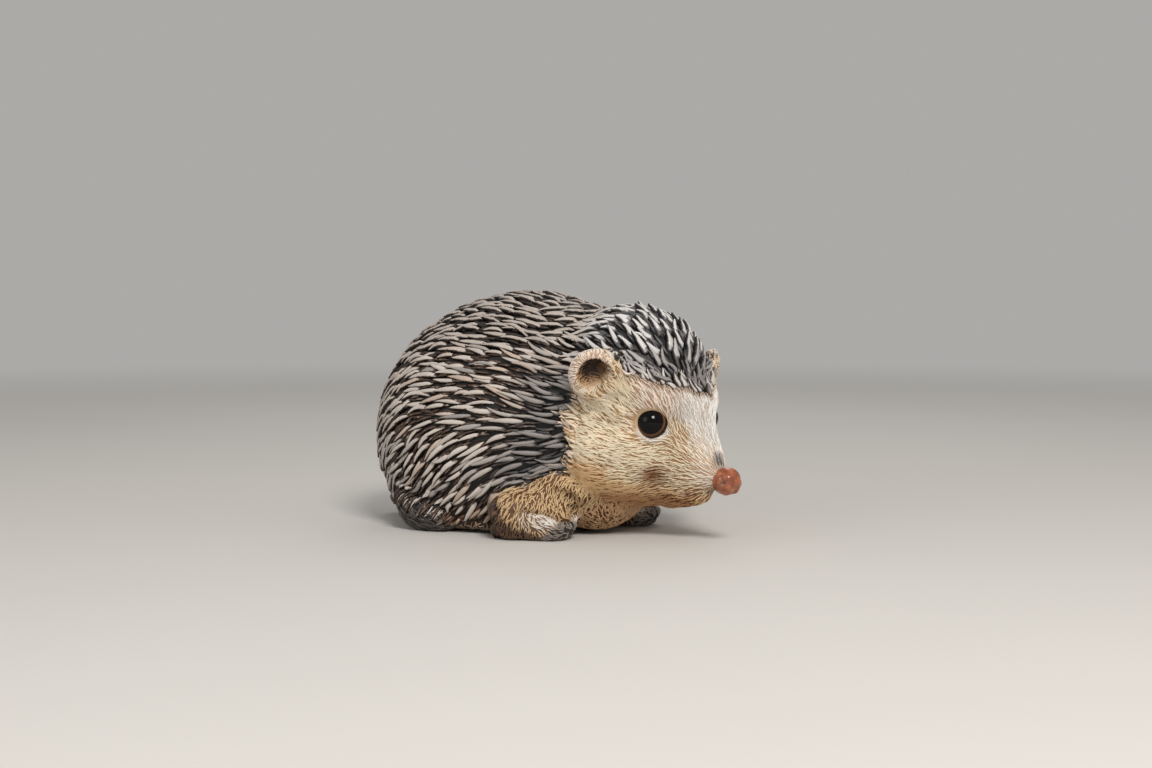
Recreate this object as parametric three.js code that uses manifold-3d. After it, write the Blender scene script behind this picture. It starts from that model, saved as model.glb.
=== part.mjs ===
// A cast-resin hedgehog ornament, about life size, crouching with its head turned a little to its right.
// Millimetres, +Z up, +X from tail to head, +Y to the animal's left. The casting is one piece in reality;
// here it is parted into its named regions by thin gaps. Each region is a sphere whose points are pushed
// out to the surface of a smooth blend of a few rounded masses; the trunk and the crown of the head are
// taken out to the tips of the spines.
import * as THREE from "three";
import { mergeVertices } from "three/addons/utils/BufferGeometryUtils.js";
import Module from "manifold-3d";

const wasm = await Module();
wasm.setup();

const { degToRad } = THREE.MathUtils;
const v = (x, y, z) => new THREE.Vector3(x, y, z);

// ---- driving dimensions; x is measured from the level of the forepaws -------------------------------
const GAP = 0.3; // the thin cut between two named regions
const BLEND = 14; // how softly the big masses run into each other
const TRUNK_WIDTH = 128; // across the widest part
const TRUNK_TOP = 126; // the height of the back above the floor
const RUMP_X = -140.5; // the rump's rear
const BELLY_CLEARANCE = 2; // the belly's height above the floor

const HEAD_TURN = degToRad(-9); // about the vertical, towards its right
const EAR_LINE_X = 27; // the head's own frame starts here
const NOSE_PLACE = v(46.2, 0, 31.5); // all places on the head are measured from the ear line
const NOSE_RADIUS = 7.4;
const EYE_RADIUS = 8.8; // of the whole eyeball, mostly buried
const EYE_HEIGHT = 60.5;
const EYE_AZIMUTH = degToRad(53.5); // from straight ahead, seen from above
const EYE_PROUD = 3; // how far the eyeball stands out of the face
const EAR_PLACE = v(0, 45.5, 84.5);
const EAR_RADIUS = 14;
const EAR_THICKNESS = 11;
const EAR_AZIMUTH = degToRad(48); // the way the ear opens, from straight ahead
const EAR_DROOP = degToRad(14); // and below the level
const LEFT_EAR_DROP = 2; // the left ear sits a little lower

const PAW_SPREAD = 34.5; // forepaws either side of their own midline
const PAW_SHIFT = -4.5; // that midline lies a little to the animal's right
const LEFT_PAW_LEAD = 9; // the left foreleg reaches further ahead
const HIND_SPREAD = 46;
const HIND_X = -82;

// How finely each region is faceted.
const FINE = { trunk: 8, head: 8, chest: 3, foreleg: 4, hind: 3, tail: 2, nose: 2, eye: 2, ear: 3, bowl: 2 };

// ---- rounded masses: each gives a point's rough distance from its surface, negative inside -----------
const ellipsoid = (centre, radii) => (p) => {
  const near = p.clone().sub(centre).divide(radii);
  const slope = near.clone().divide(radii).length();
  const reach = near.length();
  return slope > 0 ? (reach * (reach - 1)) / slope : -Math.min(radii.x, radii.y, radii.z);
};

// A limb: the hull of two balls.
const limb = (start, startRadius, end, endRadius) => {
  const along = end.clone().sub(start);
  const length = along.length();
  along.divideScalar(length);
  const shrink = (startRadius - endRadius) / length;
  const side = Math.sqrt(1 - shrink * shrink);
  return (p) => {
    const q = p.clone().sub(start);
    const y = q.dot(along);
    const x = q.addScaledVector(along, -y).length();
    const k = y * side - x * shrink;
    if (k < 0) return Math.hypot(x, y) - startRadius;
    if (k > side * length) return Math.hypot(x, y - length) - endRadius;
    return x * side + y * shrink - startRadius;
  };
};

const blend = (masses, softness) => (p) =>
  masses.reduce((far, mass) => {
    const d = mass(p);
    const h = Math.max(softness - Math.abs(far - d), 0) / softness;
    return Math.min(far, d) - (h * h * softness) / 4;
  }, Infinity);

// How far from the middle a ray last leaves a blend of masses that has grown by a little.
const REACH = 180;
const STRIDE = 2;
const HALVINGS = 12;
function surfaceAlong(middle, ray, field, grow = 0) {
  const outside = (r) => field(middle.clone().addScaledVector(ray, r)) > grow;
  let inner = REACH;
  while (inner > STRIDE && outside(inner)) inner -= STRIDE;
  let outer = inner + STRIDE;
  for (let i = 0; i < HALVINGS; i++) {
    const half = (inner + outer) / 2;
    if (outside(half)) outer = half;
    else inner = half;
  }
  return inner;
}

// A closed skin round a blend of masses: every point of a sphere slides along its ray from the middle
// to the outermost place where the blend ends, and no lower than the floor.
function skin({ middle, field, fine, floor = 0 }, grow) {
  const sphere = new THREE.IcosahedronGeometry(1, fine);
  const place = sphere.getAttribute("position");
  const ray = v(0, 0, 0);
  for (let i = 0; i < place.count; i++) {
    ray.fromBufferAttribute(place, i).normalize();
    let out = surfaceAlong(middle, ray, field, grow);
    if (ray.z < 0) out = Math.min(out, (floor - grow - middle.z) / ray.z);
    const at = middle.clone().addScaledVector(ray, out);
    place.setXYZ(i, at.x, at.y, at.z);
  }
  return sphere;
}

// ---- closed geometry to solid and back ---------------------------------------------------------------
const WELD = 1e-4;
function solid(geometry) {
  const bare = geometry.clone();
  bare.deleteAttribute("normal");
  bare.deleteAttribute("uv");
  const merged = mergeVertices(bare, WELD);
  return new wasm.Manifold(
    new wasm.Mesh({
      numProp: 3,
      vertProperties: new Float32Array(merged.getAttribute("position").array),
      triVerts: new Uint32Array(merged.index.array),
    }),
  );
}

function geometryOf(made) {
  const { vertProperties, triVerts } = made.getMesh();
  const geometry = new THREE.BufferGeometry();
  geometry.setAttribute("position", new THREE.BufferAttribute(vertProperties, 3));
  geometry.setIndex(new THREE.BufferAttribute(triVerts, 1));
  geometry.computeVertexNormals();
  return geometry;
}

const without = (made, ...others) => others.reduce((left, other) => left.subtract(other), made);

// ---- the trunk and chest -----------------------------------------------------------------------------
const trunk = {
  middle: v(-56, 0, 50),
  field: blend(
    [
      ellipsoid(v(RUMP_X + 70, 0, 48), v(70, TRUNK_WIDTH / 2, 70)), // rump and haunches
      ellipsoid(v(-46, 0, 62), v(68, 54, TRUNK_TOP - 62)), // the arch of the back
      ellipsoid(v(-6, 0, 66), v(30, 34, 50)), // shoulders and nape
    ],
    BLEND,
  ),
  fine: FINE.trunk,
  floor: BELLY_CLEARANCE,
};
const chestMiddle = v(-5, PAW_SHIFT, 24);
const chest = { middle: chestMiddle, field: ellipsoid(chestMiddle, v(28, 28, 22)), fine: FINE.chest };

// ---- the head, in its own frame: x ahead of the ear line, z above the floor ---------------------------
const head = {
  middle: v(0, 0, 56),
  field: blend(
    [
      ellipsoid(v(-16, 0, 76), v(42, 43, 43)), // crown
      ellipsoid(v(8, 0, 71), v(27, 28.5, 16)), // forehead and brows
      ellipsoid(v(2, 0, 57), v(26, 28.5, 17)), // round the eyes
      ellipsoid(v(-10, 0, 46.5), v(30, 47.5, 31)), // cheeks
      limb(v(0, 0, 46), 26, v(37.5, 0, 34), 8), // muzzle
      limb(v(8, 0, 53), 20.5, v(33, 0, 41), 8.5), // between the eyes and the nose
      limb(v(26, 0, 66), 10, v(33, 0, 44), 7.5), // bridge of the nose
      limb(v(0, 0, 35), 18, v(23, 0, 25.5), 7.5), // lower jaw
    ],
    BLEND / 2,
  ),
  fine: FINE.head,
};
const turned = (geometry) => geometry.rotateZ(HEAD_TURN).translate(EAR_LINE_X, 0, 0);

// ---- the left legs and the tail ----------------------------------------------------------------------
const foreleg = {
  middle: v(-19, 41, 12.5),
  field: blend(
    [
      limb(v(-27, 45, 13.5), 13.5, v(-14, PAW_SPREAD + 1, 11.5), 12),
      ellipsoid(v(-10, PAW_SPREAD, 8.5), v(13.5, 12.5, 10)),
    ],
    BLEND / 2,
  ),
  fine: FINE.foreleg,
};
const hindMiddle = v(HIND_X, HIND_SPREAD, 11);
const hindFoot = {
  middle: hindMiddle,
  field: blend(
    [
      ellipsoid(hindMiddle, v(20, 12, 12)),
      ellipsoid(v(HIND_X - 10, HIND_SPREAD - 2, 16), v(12, 12, 12)),
    ],
    BLEND / 2,
  ),
  fine: FINE.hind,
};
const tail = { middle: v(-135, 0, 14), field: limb(v(-130, 0, 17), 10, v(-142.5, 0, 9), 6), fine: FINE.tail };

// The same region on the other side of the midline, or moved.
const mirrored = (region) => ({
  ...region,
  middle: v(region.middle.x, -region.middle.y, region.middle.z),
  field: (p) => region.field(v(p.x, -p.y, p.z)),
});
const moved = (region, x, y) => {
  const by = v(x, y, 0);
  return { ...region, middle: region.middle.clone().add(by), field: (p) => region.field(p.clone().sub(by)) };
};

// ---- nose, eyes and ears, in the head's frame --------------------------------------------------------
const ball = (radius, centre, fine) =>
  new THREE.IcosahedronGeometry(radius, fine).translate(centre.x, centre.y, centre.z);

const nose = (grow) => solid(turned(ball(NOSE_RADIUS + grow, NOSE_PLACE, FINE.nose)));

const eyeRoot = v(0, 0, EYE_HEIGHT);
const eyeAim = v(Math.cos(EYE_AZIMUTH), Math.sin(EYE_AZIMUTH), 0);
const eyeDistance = surfaceAlong(eyeRoot, eyeAim, head.field) + EYE_PROUD - EYE_RADIUS;
const eye = (side, grow) => {
  const centre = eyeRoot.clone().addScaledVector(eyeAim, eyeDistance);
  centre.y *= side;
  return solid(turned(ball(EYE_RADIUS + grow, centre, FINE.eye)));
};

// A dished disc: a flattened ball with a smaller, offset one taken out of its open side.
const BOWL = { radius: 9.6, flat: 0.8, out: 5.6, drop: -0.5 };
const ear = (side) => {
  const aimed = (geometry) =>
    geometry
      .rotateY(EAR_DROOP)
      .rotateZ(side * EAR_AZIMUTH)
      .translate(EAR_PLACE.x, side * EAR_PLACE.y, side > 0 ? EAR_PLACE.z - LEFT_EAR_DROP : EAR_PLACE.z);
  const disc = new THREE.IcosahedronGeometry(EAR_RADIUS, FINE.ear).scale(EAR_THICKNESS / 2 / EAR_RADIUS, 1, 1);
  const bowl = new THREE.IcosahedronGeometry(BOWL.radius, FINE.bowl)
    .scale(BOWL.flat, 1, 1)
    .translate(BOWL.out, 0, BOWL.drop);
  return solid(turned(aimed(disc))).subtract(solid(turned(aimed(bowl))));
};

// ---- materials ---------------------------------------------------------------------------------------
const paint = (color, roughness) => new THREE.MeshStandardMaterial({ color, roughness, metalness: 0 });
const spinePaint = paint(0x6f6156, 0.7);
const furPaint = paint(0xc9ad7d, 0.65);
const footPaint = paint(0x4d4744, 0.45);
const nosePaint = paint(0xa5553a, 0.3);
const eyePaint = paint(0x17100c, 0.05);

// ---- the pieces --------------------------------------------------------------------------------------
const group = new THREE.Group();
const place = (name, made, material) => {
  const mesh = new THREE.Mesh(geometryOf(made), material);
  mesh.name = name;
  group.add(mesh);
};

const sides = [
  { name: "left", side: 1 },
  { name: "right", side: -1 },
];
const legs = sides.map(({ name, side }) => ({
  name,
  fore: side > 0 ? moved(foreleg, LEFT_PAW_LEAD, PAW_SHIFT) : moved(mirrored(foreleg), 0, PAW_SHIFT),
  hind: side > 0 ? hindFoot : mirrored(hindFoot),
}));
const made = (region, grow = 0) => solid(skin(region, grow));
const headShape = (grow = 0) => solid(turned(skin(head, grow)));

const foreCuts = legs.map((leg) => made(leg.fore, GAP));
const hindCuts = legs.map((leg) => made(leg.hind, GAP));
const headCut = headShape(GAP);
const chestCut = made(chest, GAP);
const eyeCuts = sides.map(({ side }) => eye(side, GAP));

place("trunk", without(made(trunk), headCut, chestCut, made(tail, GAP), ...foreCuts, ...hindCuts), spinePaint);
place("chest", without(made(chest), headCut, ...foreCuts), furPaint);
place("head", without(headShape(), nose(GAP), ...eyeCuts), furPaint);
place("nose", nose(0), nosePaint);
place("tail", made(tail), footPaint);
for (const { name, side } of sides) {
  place("eye_" + name, eye(side, 0), eyePaint);
  place("ear_" + name, ear(side).subtract(headCut), furPaint);
}
for (const leg of legs) {
  place("foreleg_" + leg.name, without(made(leg.fore), headCut), furPaint);
  place("hind_foot_" + leg.name, made(leg.hind), footPaint);
}

// The origin is on the floor, under the middle of the whole ornament.
const extent = new THREE.Box3().setFromObject(group);
group.position.set(
  -(extent.min.x + extent.max.x) / 2,
  -(extent.min.y + extent.max.y) / 2,
  -extent.min.z,
);

export default group;
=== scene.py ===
import math

import bmesh
import bpy
import numpy as np
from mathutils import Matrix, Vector
from mathutils.bvhtree import BVHTree
from mathutils.kdtree import KDTree


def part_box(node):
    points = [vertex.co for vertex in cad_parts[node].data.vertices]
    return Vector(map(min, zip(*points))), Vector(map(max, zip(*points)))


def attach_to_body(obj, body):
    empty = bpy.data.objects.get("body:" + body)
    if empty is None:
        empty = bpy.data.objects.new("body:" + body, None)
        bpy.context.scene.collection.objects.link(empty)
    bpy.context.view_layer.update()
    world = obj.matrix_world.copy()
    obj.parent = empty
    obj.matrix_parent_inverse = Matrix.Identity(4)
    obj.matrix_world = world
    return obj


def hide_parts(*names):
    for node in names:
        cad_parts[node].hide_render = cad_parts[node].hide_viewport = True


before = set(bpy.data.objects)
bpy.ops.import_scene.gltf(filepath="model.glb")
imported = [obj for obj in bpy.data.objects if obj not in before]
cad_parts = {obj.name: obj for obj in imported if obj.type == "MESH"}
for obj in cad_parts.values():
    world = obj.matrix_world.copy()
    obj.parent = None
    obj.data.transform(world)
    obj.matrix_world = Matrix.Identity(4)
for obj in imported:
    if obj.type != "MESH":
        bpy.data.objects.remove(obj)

MM = 0.001
UP = np.array((0.0, 0.0, 1.0))
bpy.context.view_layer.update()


# ---- camera ----
CAMERA_PLACE = Vector((475, -711, 119)) * MM
CAMERA_AZIMUTH = math.radians(33.0)
CAMERA_FALL = math.radians(2.83)
CAMERA_LENS = 50.0

# ---- skin ----
VOXEL = 1.14 * MM
SWELL = 1.6 * MM  # closes the thin cuts between the CAD nodes and fills tight creases
SMOOTHING = 9
SPINE_DEPTH = 3.4 * MM  # how far the skin lies inside the solids, under each kind of coat
FUR_DEPTH = 0.8 * MM
FOOT_DEPTH = 0.4 * MM
TOP_RISE = 1.2 * MM  # how much less the skin is sunk along the top of the back and crown
BROW_RISE = 1.6 * MM  # and along the hairline

EAR_ASIDE = 45.5 * MM
EAR_HEIGHT = 84.5 * MM
EAR_DROP = 2 * MM  # the left ear sits lower
EAR_AZIMUTH = math.radians(48)
EAR_DROOP = math.radians(14)

SIDES = {"left": 1, "right": -1}
PAW_SPREAD = 34.5 * MM
PAW_SHIFT = -4.5 * MM
SHOULDER_RADIUS = 9.5 * MM

# The rest of these are in millimetres.
SHOULDER = [(-3, -1, 17), (8, -7, 24.5), (22, -17, 25)]  # from the foreleg's middle: along, outward and up
JAW = [(12, 25.1, 12), (20, 25.2, 11), (27, 24.6, 9), (33, 23.6, 5.8)]  # balls: forward, up and radius
EAR_ROOTS = [(0.5, 36.5, 70.5), (4, 33.5, 66)]  # balls under each ear: forward, aside and up
EAR_ROOT_RADIUS = 8
EAR_BACK = (7.5, -6.5, -0.5)  # a ball behind each ear's inner edge, in the ear's own frame
EAR_BACK_RADIUS = 7.5
LEG_SHOWS = 33  # how far back from its tip a foreleg's fur goes before spines cover it
PAW_HEIGHT = 15.5  # where the arm's fur ends above the paw
TOE_PITCH = 5.2  # from one line between toes to the next
MOUTH = [(40, 0, 26.5), (35, 1.4, 25.5), (31.5, 4.5, 24.5), (27, 7.5, 24)]  # forward, aside and up
DIMPLE = [(16.8, 20, 30), (16.2, 20.5, 32.5)]
MOUTH_WIDTH = 1.2
LID_RADIUS = 10.6  # the ridge round each eye, from the eye's middle
SOCKET_RADIUS = 8.9  # the groove between that ridge and the eyeball

# Edges of the paints, in millimetres: a row of places, and where the edge lies at each.
HAIRLINE_HEIGHT = 76.5
RUFF_EDGE = ((30, 36, 44, 58, 66, 72), (-24, -20, -18.5, -19.5, -19, -13))  # the face's back edge, by height
BIB_EDGE = ((4, 8, 29, 36, 44), (16, 22, 32.5, 36, 40))  # the chest fur's top, by place along the body
JAW_EDGE = ((8, 16, 27, 37, 42, 46), (24.5, 26, 28.5, 31, 34.5, 40))  # the jaw's top, by place aside
LEG_EDGE = ((1, 2, 4, 6, 8, 13, 19, 23), (9, 14, 19.5, 22.5, 24.5, 28, 31, 60))  # the leg's back, by height

FLESH = ["trunk", "head", "chest", "tail", "ear_left", "ear_right", "foreleg_left", "foreleg_right",
         "hind_foot_left", "hind_foot_right"]
NOSE_REACH = 46.2 * MM  # from the line of the ears to the nose's middle


# ---- small helpers ----
def smooth(low, high, x):
    t = np.clip((x - low) / (high - low), 0, 1)
    return t * t * (3 - 2 * t)


def bell(x, width):
    return np.exp(-((x / width) ** 2))


def unit(v):
    return v / np.maximum(np.linalg.norm(v, axis=-1, keepdims=True), 1e-9)


def dot(a, b):
    return np.sum(a * b, axis=-1)


def ripple(p, size, seed):
    """A smooth repeatable wobble between about -1 and 1, with waves roughly size across."""
    rng = np.random.default_rng(seed)
    total = np.zeros(len(p))
    for _ in range(5):
        way = unit(rng.normal(size=3)) * (2 * math.pi / size) * rng.uniform(0.6, 1.5)
        total += np.sin(p @ way + rng.uniform(0, 2 * math.pi))
    return total / 2.4


def centre(node):
    low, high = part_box(node)
    return np.array((low + high) / 2)


def radius(node):
    low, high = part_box(node)
    return float(min(high - low) / 2)


def line_distance(p, line):
    """How far each point lies from a broken line."""
    best = np.full(len(p), 1e9)
    for start, end in zip(line, line[1:]):
        a, b = np.array(start, float), np.array(end, float)
        t = np.clip((p - a) @ (b - a) / ((b - a) @ (b - a)), 0, 1)
        best = np.minimum(best, np.linalg.norm(p - a - t[:, None] * (b - a), axis=1))
    return best


def linked(name, data):
    """A new object in the scene."""
    made = bpy.data.objects.new(name, data)
    bpy.context.scene.collection.objects.link(made)
    return made


def mesh_object(name, places, quads):
    mesh = bpy.data.meshes.new(name)
    mesh.vertices.add(len(places))
    mesh.vertices.foreach_set("co", places.astype(np.float32).ravel())
    mesh.loops.add(quads.size)
    mesh.loops.foreach_set("vertex_index", quads.astype(np.int32).ravel())
    mesh.polygons.add(len(quads))
    mesh.polygons.foreach_set("loop_start", np.arange(0, quads.size, 4, dtype=np.int32))
    mesh.polygons.foreach_set("use_smooth", np.ones(len(quads), bool))
    mesh.update(calc_edges=True)
    return linked(name, mesh)


def attach(made, name, values):
    """Gives every point of a mesh a number that its material reads."""
    layer = made.data.attributes.new(name, "FLOAT", "POINT")
    layer.data.foreach_set("value", values.astype(np.float32))


def part(made, slot, material, *nodes):
    """Hooks a finished piece to the frame."""
    made.data.materials.clear()
    made.data.materials.append(material)
    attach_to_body(made, "root")
    if nodes:
        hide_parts(*nodes)
    return made


# ---- the head's own frame: x forward, y to its left, z up, from the line of the ears on the floor ----
EYES = {side: centre("eye_" + side) for side in SIDES}
EYE_RADIUS = radius("eye_left")
EYE_SCALE = 1.025
NOSE = centre("nose")
LEFT = unit((EYES["left"] - EYES["right"]) * (1, 1, 0))
FORWARD = np.cross(LEFT, UP)
HEAD = (NOSE - NOSE_REACH * FORWARD) * (1, 1, 0)


def in_head(p):
    q = p - HEAD
    return np.stack((q @ FORWARD, q @ LEFT, q[:, 2]), axis=1)


def from_head(x, y, z):
    return HEAD + x * FORWARD + y * LEFT + z * UP


# ---- the skin ----
def welded(node):
    """A CAD node's mesh as bmesh, with the points that the import split merged again."""
    bm = bmesh.new()
    bm.from_mesh(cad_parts[node].data)
    bmesh.ops.remove_doubles(bm, verts=bm.verts, dist=1e-6)
    bm.normal_update()
    return bm


def shoulder_line(side):
    """The broken line that the upper arm follows, from the foreleg's back up to the neck."""
    middle = centre("foreleg_" + side) * (1, 1, 0)
    return [middle + np.array(place) * (1, SIDES[side], 1) * MM for place in SHOULDER]


def plugs():
    """Balls that fill the skin's hollows: under the eyes, nose, jaw and ears, and along the upper arms."""
    balls = [(eye, EYE_RADIUS * 0.93) for eye in EYES.values()] + [(NOSE, radius("nose") * 0.9)]
    balls += [(from_head(x * MM, 0, z * MM), size * MM) for x, z, size in JAW]
    for side, sign in SIDES.items():
        balls.append((from_ear(side, *EAR_BACK), EAR_BACK_RADIUS * MM))
        for x, y, z in EAR_ROOTS:
            balls.append((from_head(x * MM, y * sign * MM, z * MM), EAR_ROOT_RADIUS * MM))
        line = shoulder_line(side)
        for start, end in zip(line, line[1:]):
            balls += [(start + t * (end - start), SHOULDER_RADIUS) for t in np.linspace(0, 1, 4)]
    return balls


def flesh_union():
    """All flesh nodes, swollen so that the cuts between them close, with plugs under the eyes and nose."""
    whole = bmesh.new()
    for node in FLESH:
        bm = welded(node)
        for vertex in bm.verts:
            vertex.co += vertex.normal * SWELL
        piece = bpy.data.meshes.new("flesh")
        bm.to_mesh(piece)
        bm.free()
        whole.from_mesh(piece)
        bpy.data.meshes.remove(piece)
    for place, size in plugs():
        ball = bmesh.ops.create_uvsphere(whole, u_segments=24, v_segments=16, radius=size)
        bmesh.ops.translate(whole, verts=ball["verts"], vec=Vector(place))
    mesh = bpy.data.meshes.new("flesh_union")
    whole.to_mesh(mesh)
    whole.free()
    return mesh


def remeshed(mesh):
    holder = linked("flesh_union", mesh)
    remesh = holder.modifiers.new("remesh", "REMESH")
    remesh.mode = "VOXEL"
    remesh.voxel_size = VOXEL
    evaluated = holder.evaluated_get(bpy.context.evaluated_depsgraph_get())
    result = bpy.data.meshes.new_from_object(evaluated)
    bpy.data.objects.remove(holder)
    return result


def outer_shell(mesh):
    """Points and quads of the largest closed piece of a mesh."""
    bm = bmesh.new()
    bm.from_mesh(mesh)
    bm.verts.ensure_lookup_table()
    seen = np.zeros(len(bm.verts), bool)
    best = []
    for start in bm.verts:
        if seen[start.index]:
            continue
        seen[start.index] = True
        stack, island = [start], []
        while stack:
            vertex = stack.pop()
            island.append(vertex.index)
            for edge in vertex.link_edges:
                other = edge.other_vert(vertex)
                if not seen[other.index]:
                    seen[other.index] = True
                    stack.append(other)
        if len(island) > len(best):
            best = island
    kept = np.full(len(bm.verts), -1)
    kept[sorted(best)] = np.arange(len(best))
    places = np.array([bm.verts[i].co for i in sorted(best)])
    quads = np.array([[kept[v.index] for v in f.verts] for f in bm.faces if len(f.verts) == 4])
    quads = quads[(quads >= 0).all(axis=1)]
    bm.free()
    return places, quads


def normals_of(places, quads):
    a, b, c, d = (places[quads[:, i]] for i in range(4))
    face = np.cross(c - a, d - b)
    total = np.zeros_like(places)
    for corner in range(4):
        for axis in range(3):
            total[:, axis] += np.bincount(quads[:, corner], face[:, axis], len(places))
    return unit(total)


class Skin:
    """The flesh as one closed surface, with what every coat piece asks of it."""

    def __init__(self, places, quads):
        self.places = places
        self.quads = quads
        links = np.concatenate([quads[:, [i, (i + 1) % 4]] for i in range(4)])
        self.links = np.unique(np.sort(links, axis=1), axis=0)
        self.degree = np.bincount(self.links.ravel(), minlength=len(places)).astype(float)
        self.masks = {}

    def spread(self, values):
        """The mean of each point's neighbours."""
        a, b = self.links.T
        count = len(self.places)
        total = np.bincount(a, values[b], count) + np.bincount(b, values[a], count)
        return total / self.degree

    def relax(self, share, rounds):
        for _ in range(rounds):
            for axis in range(3):
                column = self.places[:, axis]
                self.places[:, axis] = column + share * (self.spread(column) - column)

    def soften(self, values, rounds):
        for _ in range(rounds):
            values = 0.5 * values + 0.5 * self.spread(values)
        return values

    def settle(self):
        """Fixes the shape: normals, face data and the search tree."""
        self.normals = normals_of(self.places, self.quads)
        a, b, c, d = (self.places[self.quads[:, i]] for i in range(4))
        self.face_area = 0.5 * np.linalg.norm(np.cross(c - a, d - b), axis=1)
        self.face_normal = unit(self.normals[self.quads].mean(axis=1))
        self.tree = BVHTree.FromPolygons(self.places.tolist(), self.quads.tolist())

    def nearest(self, points):
        found = [self.tree.find_nearest(Vector(p)) for p in points]
        faces = np.array([f[2] for f in found])
        return np.array([f[0] for f in found]), self.face_normal[faces], faces

    def sample(self, mask, count, rng):
        """Random places on the skin, as often as the mask says."""
        weight = self.face_area * mask[self.quads].mean(axis=1)
        faces = rng.choice(len(weight), count, p=weight / weight.sum())
        s, t = rng.uniform(size=(2, count, 1))
        a, b, c, d = (self.places[self.quads[faces, i]] for i in range(4))
        places = (1 - t) * ((1 - s) * a + s * b) + t * ((1 - s) * d + s * c)
        return places, self.face_normal[faces], faces


def node_masks(skin):
    """For each flesh node, 1 on the skin over it and 0 elsewhere, softened at the edges."""
    places, faces, owner = [], [], []
    for number, node in enumerate(FLESH):
        bm = welded(node)
        offset = len(places)
        places += [v.co.copy() for v in bm.verts]
        faces += [[offset + v.index for v in f.verts] for f in bm.faces]
        owner += [number] * len(bm.faces)
        bm.free()
    tree = BVHTree.FromPolygons(places, faces)
    owner = np.array(owner)
    found = owner[[tree.find_nearest(Vector(p))[2] for p in skin.places]]
    return {node: skin.soften((found == number).astype(float), 4) for number, node in enumerate(FLESH)}


def ear_frame(side):
    """An ear's middle and its three ways: inward across the disc, up the disc, and out of the bowl."""
    sign = SIDES[side]
    drop = EAR_DROP if side == "left" else 0
    level = math.cos(EAR_AZIMUTH) * FORWARD + sign * math.sin(EAR_AZIMUTH) * LEFT
    inner = math.sin(EAR_AZIMUTH) * FORWARD - sign * math.cos(EAR_AZIMUTH) * LEFT
    out = math.cos(EAR_DROOP) * level - math.sin(EAR_DROOP) * UP
    up = math.cos(EAR_DROOP) * UP + math.sin(EAR_DROOP) * level
    return from_head(0, sign * EAR_ASIDE, EAR_HEIGHT - drop), inner, up, out


def from_ear(side, inner, up, out):
    """A place given in millimetres from an ear's middle."""
    middle, across, high, way = ear_frame(side)
    return middle + (inner * across + up * high + out * way) * MM


def in_ear(p, side):
    """Millimetres inward, up and out from an ear's middle."""
    middle, inner, up, out = ear_frame(side)
    q = (p - middle) / MM
    return q @ inner, q @ up, q @ out


def toward_nose(inner, up):
    """How far across an ear's disc a place lies, towards the nose."""
    return 0.775 * inner - 0.63 * up


def behind_tip(side, row):
    """How far behind a foreleg's tip each place lies; row frame, in millimetres."""
    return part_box("foreleg_" + side)[1].x / MM - row[:, 0]


def paw_height(back):
    """How high the paw reaches, in millimetres, at each distance back from its tip."""
    return PAW_HEIGHT - 4.5 * smooth(11, 0, back)


def leg_fur(over, p, row, wander):
    """Where the forelegs' fur shows: on the legs' front part and along the upper arms."""
    fore = np.zeros(len(p))
    reach = SHOULDER_RADIUS / MM
    for side in SIDES:
        back = behind_tip(side, row)
        fore += over["foreleg_" + side] * smooth(LEG_SHOWS + 2, LEG_SHOWS - 1, back + 1.5 * wander)
        arm = line_distance(p, shoulder_line(side)) / MM
        fore += smooth(reach + 2.2, reach + 0.6, arm) * smooth(-1, 2, row[:, 0] - 6)
    return np.clip(fore, 0, 1)


def face_masks(face, throat, h, hairline, wander):
    """The washes of the face and throat; head frame, in millimetres."""
    x, side, z = h[:, 0], np.abs(h[:, 1]), h[:, 2]
    jaw_top = np.interp(side, *JAW_EDGE)
    from_middle = side - 6 * smooth(54, 66, z) + 1.5 * wander
    return {
        "muzzle": face * smooth(30, 40, x) * smooth(24, 28, z),
        "brow": face * smooth(57, 67, z + wander) * smooth(2, 12, x) * smooth(36, 28, side),
        "blaze": face * smooth(15, 5, from_middle) * smooth(40, 54, z) * smooth(16, 26, x),
        # Painted shadow: a brown band on the face just below the overhanging hairline spines
        "fringe": face * smooth(5.5, 1.5, hairline - z) * smooth(-2, 8, x),
        "smudge": face * smooth(6.2, 2.0, np.hypot(np.hypot(x - 43, side * 0.9), (z - 41.5) * 0.8)),
        "jaw": throat * smooth(4.5, -3.5, z - jaw_top + 1.5 * wander) * smooth(46, 30, x),
        # Darker brown under the chin and in the throat's crease: partly the throat's own brown, partly
        # painted shade
        "chin": throat * smooth(25, 20, z + 0.5 * wander) * smooth(32, 25, x),
    }


def paw_masks(m, over, row, wander):
    """Adds the washes of the forelegs and their paws."""
    z = row[:, 2]
    for side in SIDES:
        leg = over["foreleg_" + side]
        back = behind_tip(side, row)
        over_paw = z - paw_height(back)
        paw = leg * smooth(1, -1, over_paw)
        m["toe"] += paw * smooth(1.8, -1.8, z + 0.72 * back - 10.5 + 1.3 * wander)
        m["tip"] += paw * smooth(7, 4, back + 0.3 * z)
        m["pawtop"] += paw * smooth(23, 8, back + 2 * wander) * smooth(1.5, 8, z)
        # Painted shade: the foreleg's lower back corner is painted dark, so the leg looks rounded
        m["sole"] += leg * smooth(-1.5, 1.5, back + wander - np.interp(z, *LEG_EDGE))
        # Painted shade along the wrist's crease above each forepaw
        m["crease"] += leg * bell(over_paw - 0.6, 1.5) * smooth(26, 15, back + wander)
    m["pawtop"] *= 1 - m["toe"]


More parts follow.
